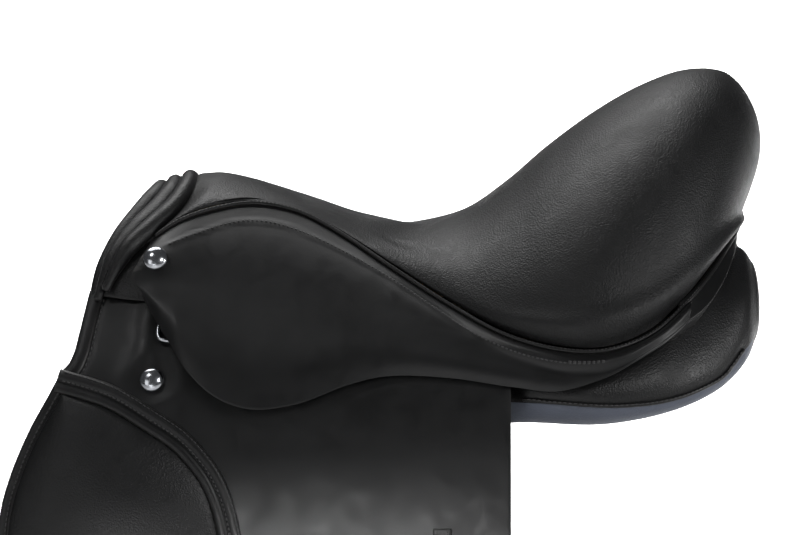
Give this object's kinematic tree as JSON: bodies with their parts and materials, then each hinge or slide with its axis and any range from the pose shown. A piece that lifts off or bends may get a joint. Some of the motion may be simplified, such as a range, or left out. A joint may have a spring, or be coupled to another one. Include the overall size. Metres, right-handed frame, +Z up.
{
  "type": "english saddle",
  "caption": "General purpose riding saddle with a padded seat on a tree, lifting skirts and flaps, knee pads, panels, stirrup bars and girth straps.",
  "frame": {"origin": "on the centre line, at the level where the panels' inner edges bear on the back that carries the saddle, midway between pommel and cantle", "axes": "+X from the pommel to the cantle, +Y to the right (off) side, +Z up"},
  "size_m": [0.5201, 0.3844, 0.4992],
  "materials": {
    "smooth_leather": "satin",
    "grained_leather": "satin",
    "lining": "matte",
    "foam": "matte",
    "webbing": "matte",
    "tree_wood": "matte",
    "steel": "satin",
    "bright_metal": "polished"
  },
  "bodies": {
    "saddle": {"seat_cover": "grained_leather", "seat_foam": "foam", "web_lengthwise": "webbing", "web_crosswise": "webbing", "tree": "tree_wood", "head_plate": "steel", "pommel_roll_front": "grained_leather", "pommel_roll_middle": "grained_leather", "pommel_roll_rear": "grained_leather", "pommel_facing": "smooth_leather", "cantle_facing": "smooth_leather", "channel_lining": "lining", "pommel_side_left": "grained_leather", "seat_welt_left": "smooth_leather", "skirt_top_left": "smooth_leather", "skirt_nail_left": "bright_metal", "flap_top_left": "smooth_leather", "flap_nail_left": "bright_metal", "sweat_flap_left": "smooth_leather", "panel_left": "grained_leather", "panel_welt_left": "smooth_leather", "stirrup_bar_left": "steel", "dee_clip_left": "bright_metal", "billet_web_left": "webbing", "pommel_side_right": "grained_leather", "seat_welt_right": "smooth_leather", "skirt_top_right": "smooth_leather", "skirt_nail_right": "bright_metal", "flap_top_right": "smooth_leather", "flap_nail_right": "bright_metal", "sweat_flap_right": "smooth_leather", "panel_right": "grained_leather", "panel_welt_right": "smooth_leather", "stirrup_bar_right": "steel", "dee_clip_right": "bright_metal", "billet_web_right": "webbing"},
    "skirt_left": {"skirt_left": "smooth_leather"},
    "flap_left": {"flap_left": "smooth_leather", "knee_pad_left": "grained_leather", "knee_welt_left": "smooth_leather", "keeper_left": "smooth_leather"},
    "bar_catch_left": {"bar_catch_left": "steel"},
    "dee_left": {"dee_left": "bright_metal"},
    "billets_left": {"billet_front_left": "smooth_leather", "billet_middle_left": "smooth_leather", "billet_rear_left": "smooth_leather"},
    "girth_guard_left": {"girth_guard_left": "smooth_leather"},
    "skirt_right": {"skirt_right": "smooth_leather"},
    "flap_right": {"flap_right": "smooth_leather", "knee_pad_right": "grained_leather", "knee_welt_right": "smooth_leather", "keeper_right": "smooth_leather"},
    "bar_catch_right": {"bar_catch_right": "steel"},
    "dee_right": {"dee_right": "bright_metal"},
    "billets_right": {"billet_front_right": "smooth_leather", "billet_middle_right": "smooth_leather", "billet_rear_right": "smooth_leather"},
    "girth_guard_right": {"girth_guard_right": "smooth_leather"}
  },
  "joints": [
    {"name": "skirt_left_lift", "type": "hinge", "parent": "saddle", "child": "skirt_left", "pos_m": [-0.026, -0.1325, 0.0185], "axis": [-0.9537, 0.2448, 0.1748], "range_deg": [0, 75]},
    {"name": "skirt_right_lift", "type": "hinge", "parent": "saddle", "child": "skirt_right", "pos_m": [-0.026, 0.1325, 0.0185], "axis": [0.9537, 0.2448, -0.1748], "range_deg": [0, 75]},
    {"name": "flap_left_lift", "type": "hinge", "parent": "saddle", "child": "flap_left", "pos_m": [-0.0775, -0.14204, -0.04105], "axis": [-0.9646, 0.1984, 0.1736], "range_deg": [0, 90]},
    {"name": "flap_right_lift", "type": "hinge", "parent": "saddle", "child": "flap_right", "pos_m": [-0.0775, 0.14204, -0.04105], "axis": [0.9646, 0.1984, -0.1736], "range_deg": [0, 90]},
    {"name": "bar_catch_left_turn", "type": "hinge", "parent": "saddle", "child": "bar_catch_left", "pos_m": [-0.07204, -0.11543, 0.014], "axis": [0.1692, 0.9856, 0], "range_deg": [0, 80]},
    {"name": "bar_catch_right_turn", "type": "hinge", "parent": "saddle", "child": "bar_catch_right", "pos_m": [-0.07204, 0.11543, 0.014], "axis": [-0.1692, 0.9856, 0], "range_deg": [0, 80]},
    {"name": "dee_left_swing", "type": "hinge", "parent": "saddle", "child": "dee_left", "pos_m": [-0.14945, -0.10309, 0.02228], "axis": [-0.6173, 0.5206, 0.5899], "range_deg": [0, 10]},
    {"name": "dee_right_swing", "type": "hinge", "parent": "saddle", "child": "dee_right", "pos_m": [-0.14945, 0.10309, 0.02228], "axis": [0.6173, 0.5206, -0.5899], "range_deg": [0, 10]},
    {"name": "billets_left_swing", "type": "hinge", "parent": "saddle", "child": "billets_left", "pos_m": [-0.00424, -0.14664, -0.046], "axis": [-0.1473, -0.9823, 0.1159], "range_deg": [-6, 6]},
    {"name": "billets_right_swing", "type": "hinge", "parent": "saddle", "child": "billets_right", "pos_m": [-0.00424, 0.14664, -0.046], "axis": [0.1473, -0.9823, -0.1159], "range_deg": [-6, 6]},
    {"name": "girth_guard_left_slide", "type": "slide", "parent": "billets_left", "child": "girth_guard_left", "axis": [0, -0.1172, -0.9931], "range_m": [-0.012, 0.09]},
    {"name": "girth_guard_right_slide", "type": "slide", "parent": "billets_right", "child": "girth_guard_right", "axis": [0, 0.1172, -0.9931], "range_m": [-0.012, 0.09]}
  ]
}
